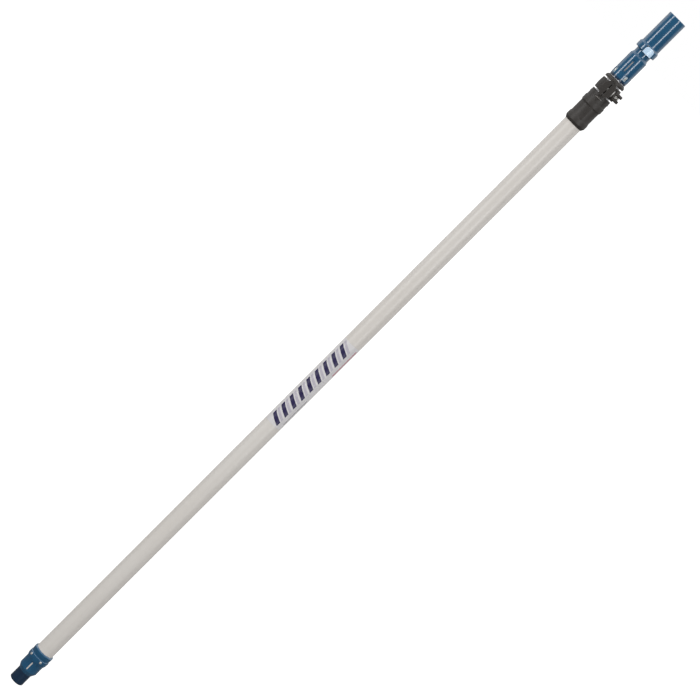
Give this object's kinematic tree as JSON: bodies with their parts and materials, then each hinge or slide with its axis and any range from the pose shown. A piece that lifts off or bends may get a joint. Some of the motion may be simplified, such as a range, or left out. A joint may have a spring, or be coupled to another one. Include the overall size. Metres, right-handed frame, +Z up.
{
  "type": "roller extension pole",
  "caption": "Telescopic pole with a knob-tightened lock collar, a riveted butt spigot and a push-button socket head for a paint roller frame.",
  "frame": {"origin": "centre of the butt's flat end face, on the pole's axis", "axes": "+Z up the pole from the butt to the head, -Y towards the clamp ears, +X towards the clamp knob; the latch button faces 14 degrees from -Y towards +X"},
  "size_m": [0.038, 0.0434, 1.26],
  "materials": {
    "white_paint": "satin",
    "label_film": "satin",
    "blue_plastic": "gloss",
    "navy_plastic": "gloss",
    "black_plastic": "satin",
    "grey_plastic": "matte",
    "white_plastic": "satin",
    "pale_blue_plastic": "gloss",
    "aluminium": "satin",
    "steel": "bright",
    "dark_steel": "satin"
  },
  "bodies": {
    "pole": {"outer_tube": "white_paint", "tube_label": "label_film", "butt_cap": "blue_plastic", "butt_spigot": "navy_plastic", "cap_rivets": "steel", "lock_collar": "black_plastic", "collar_pins": "dark_steel", "clamp_liner": "black_plastic", "clamp_bolt": "steel"},
    "washer": {"knob_washer": "steel"},
    "knob": {"clamp_knob": "black_plastic", "knob_nut": "steel"},
    "bush": {"guide_bush": "white_plastic"},
    "inner_section": {"inner_end_plug": "grey_plastic", "inner_tube": "aluminium", "stop_sleeve": "white_plastic", "bumper_ring": "navy_plastic", "head_sleeve": "blue_plastic", "window_keys": "white_plastic", "head_rivets": "steel", "socket_tube": "blue_plastic", "head_screws": "dark_steel"},
    "latch": {"latch_plate": "steel", "latch_button": "pale_blue_plastic", "latch_springs": "steel"}
  },
  "joints": [
    {"name": "extend", "type": "slide", "parent": "pole", "child": "bush", "axis": [0, 0, 1], "range_m": [0, 0.85]},
    {"name": "twist", "type": "hinge", "parent": "bush", "child": "inner_section", "pos_m": [0, 0, 1.2], "axis": [0, 0, 1], "continuous": true},
    {"name": "knob_travel", "type": "slide", "parent": "pole", "child": "washer", "axis": [1, 0, 0], "range_m": [0, 0.0016]},
    {"name": "knob_turn", "type": "hinge", "parent": "washer", "child": "knob", "pos_m": [0, -0.0192, 1.1337], "axis": [1, 0, 0], "range_deg": [0, 720]},
    {"name": "latch_press", "type": "slide", "parent": "inner_section", "child": "latch", "axis": [-0.2419, 0.9703, 0], "range_m": [0, 0.0018], "stiffness_N_per_m": 600, "springref_m": -0.002, "deforming": ["latch_springs"]}
  ],
  "couplings": [
    {"joint": "knob_turn", "follows": "knob_travel", "rad_per_m": 7854}
  ]
}
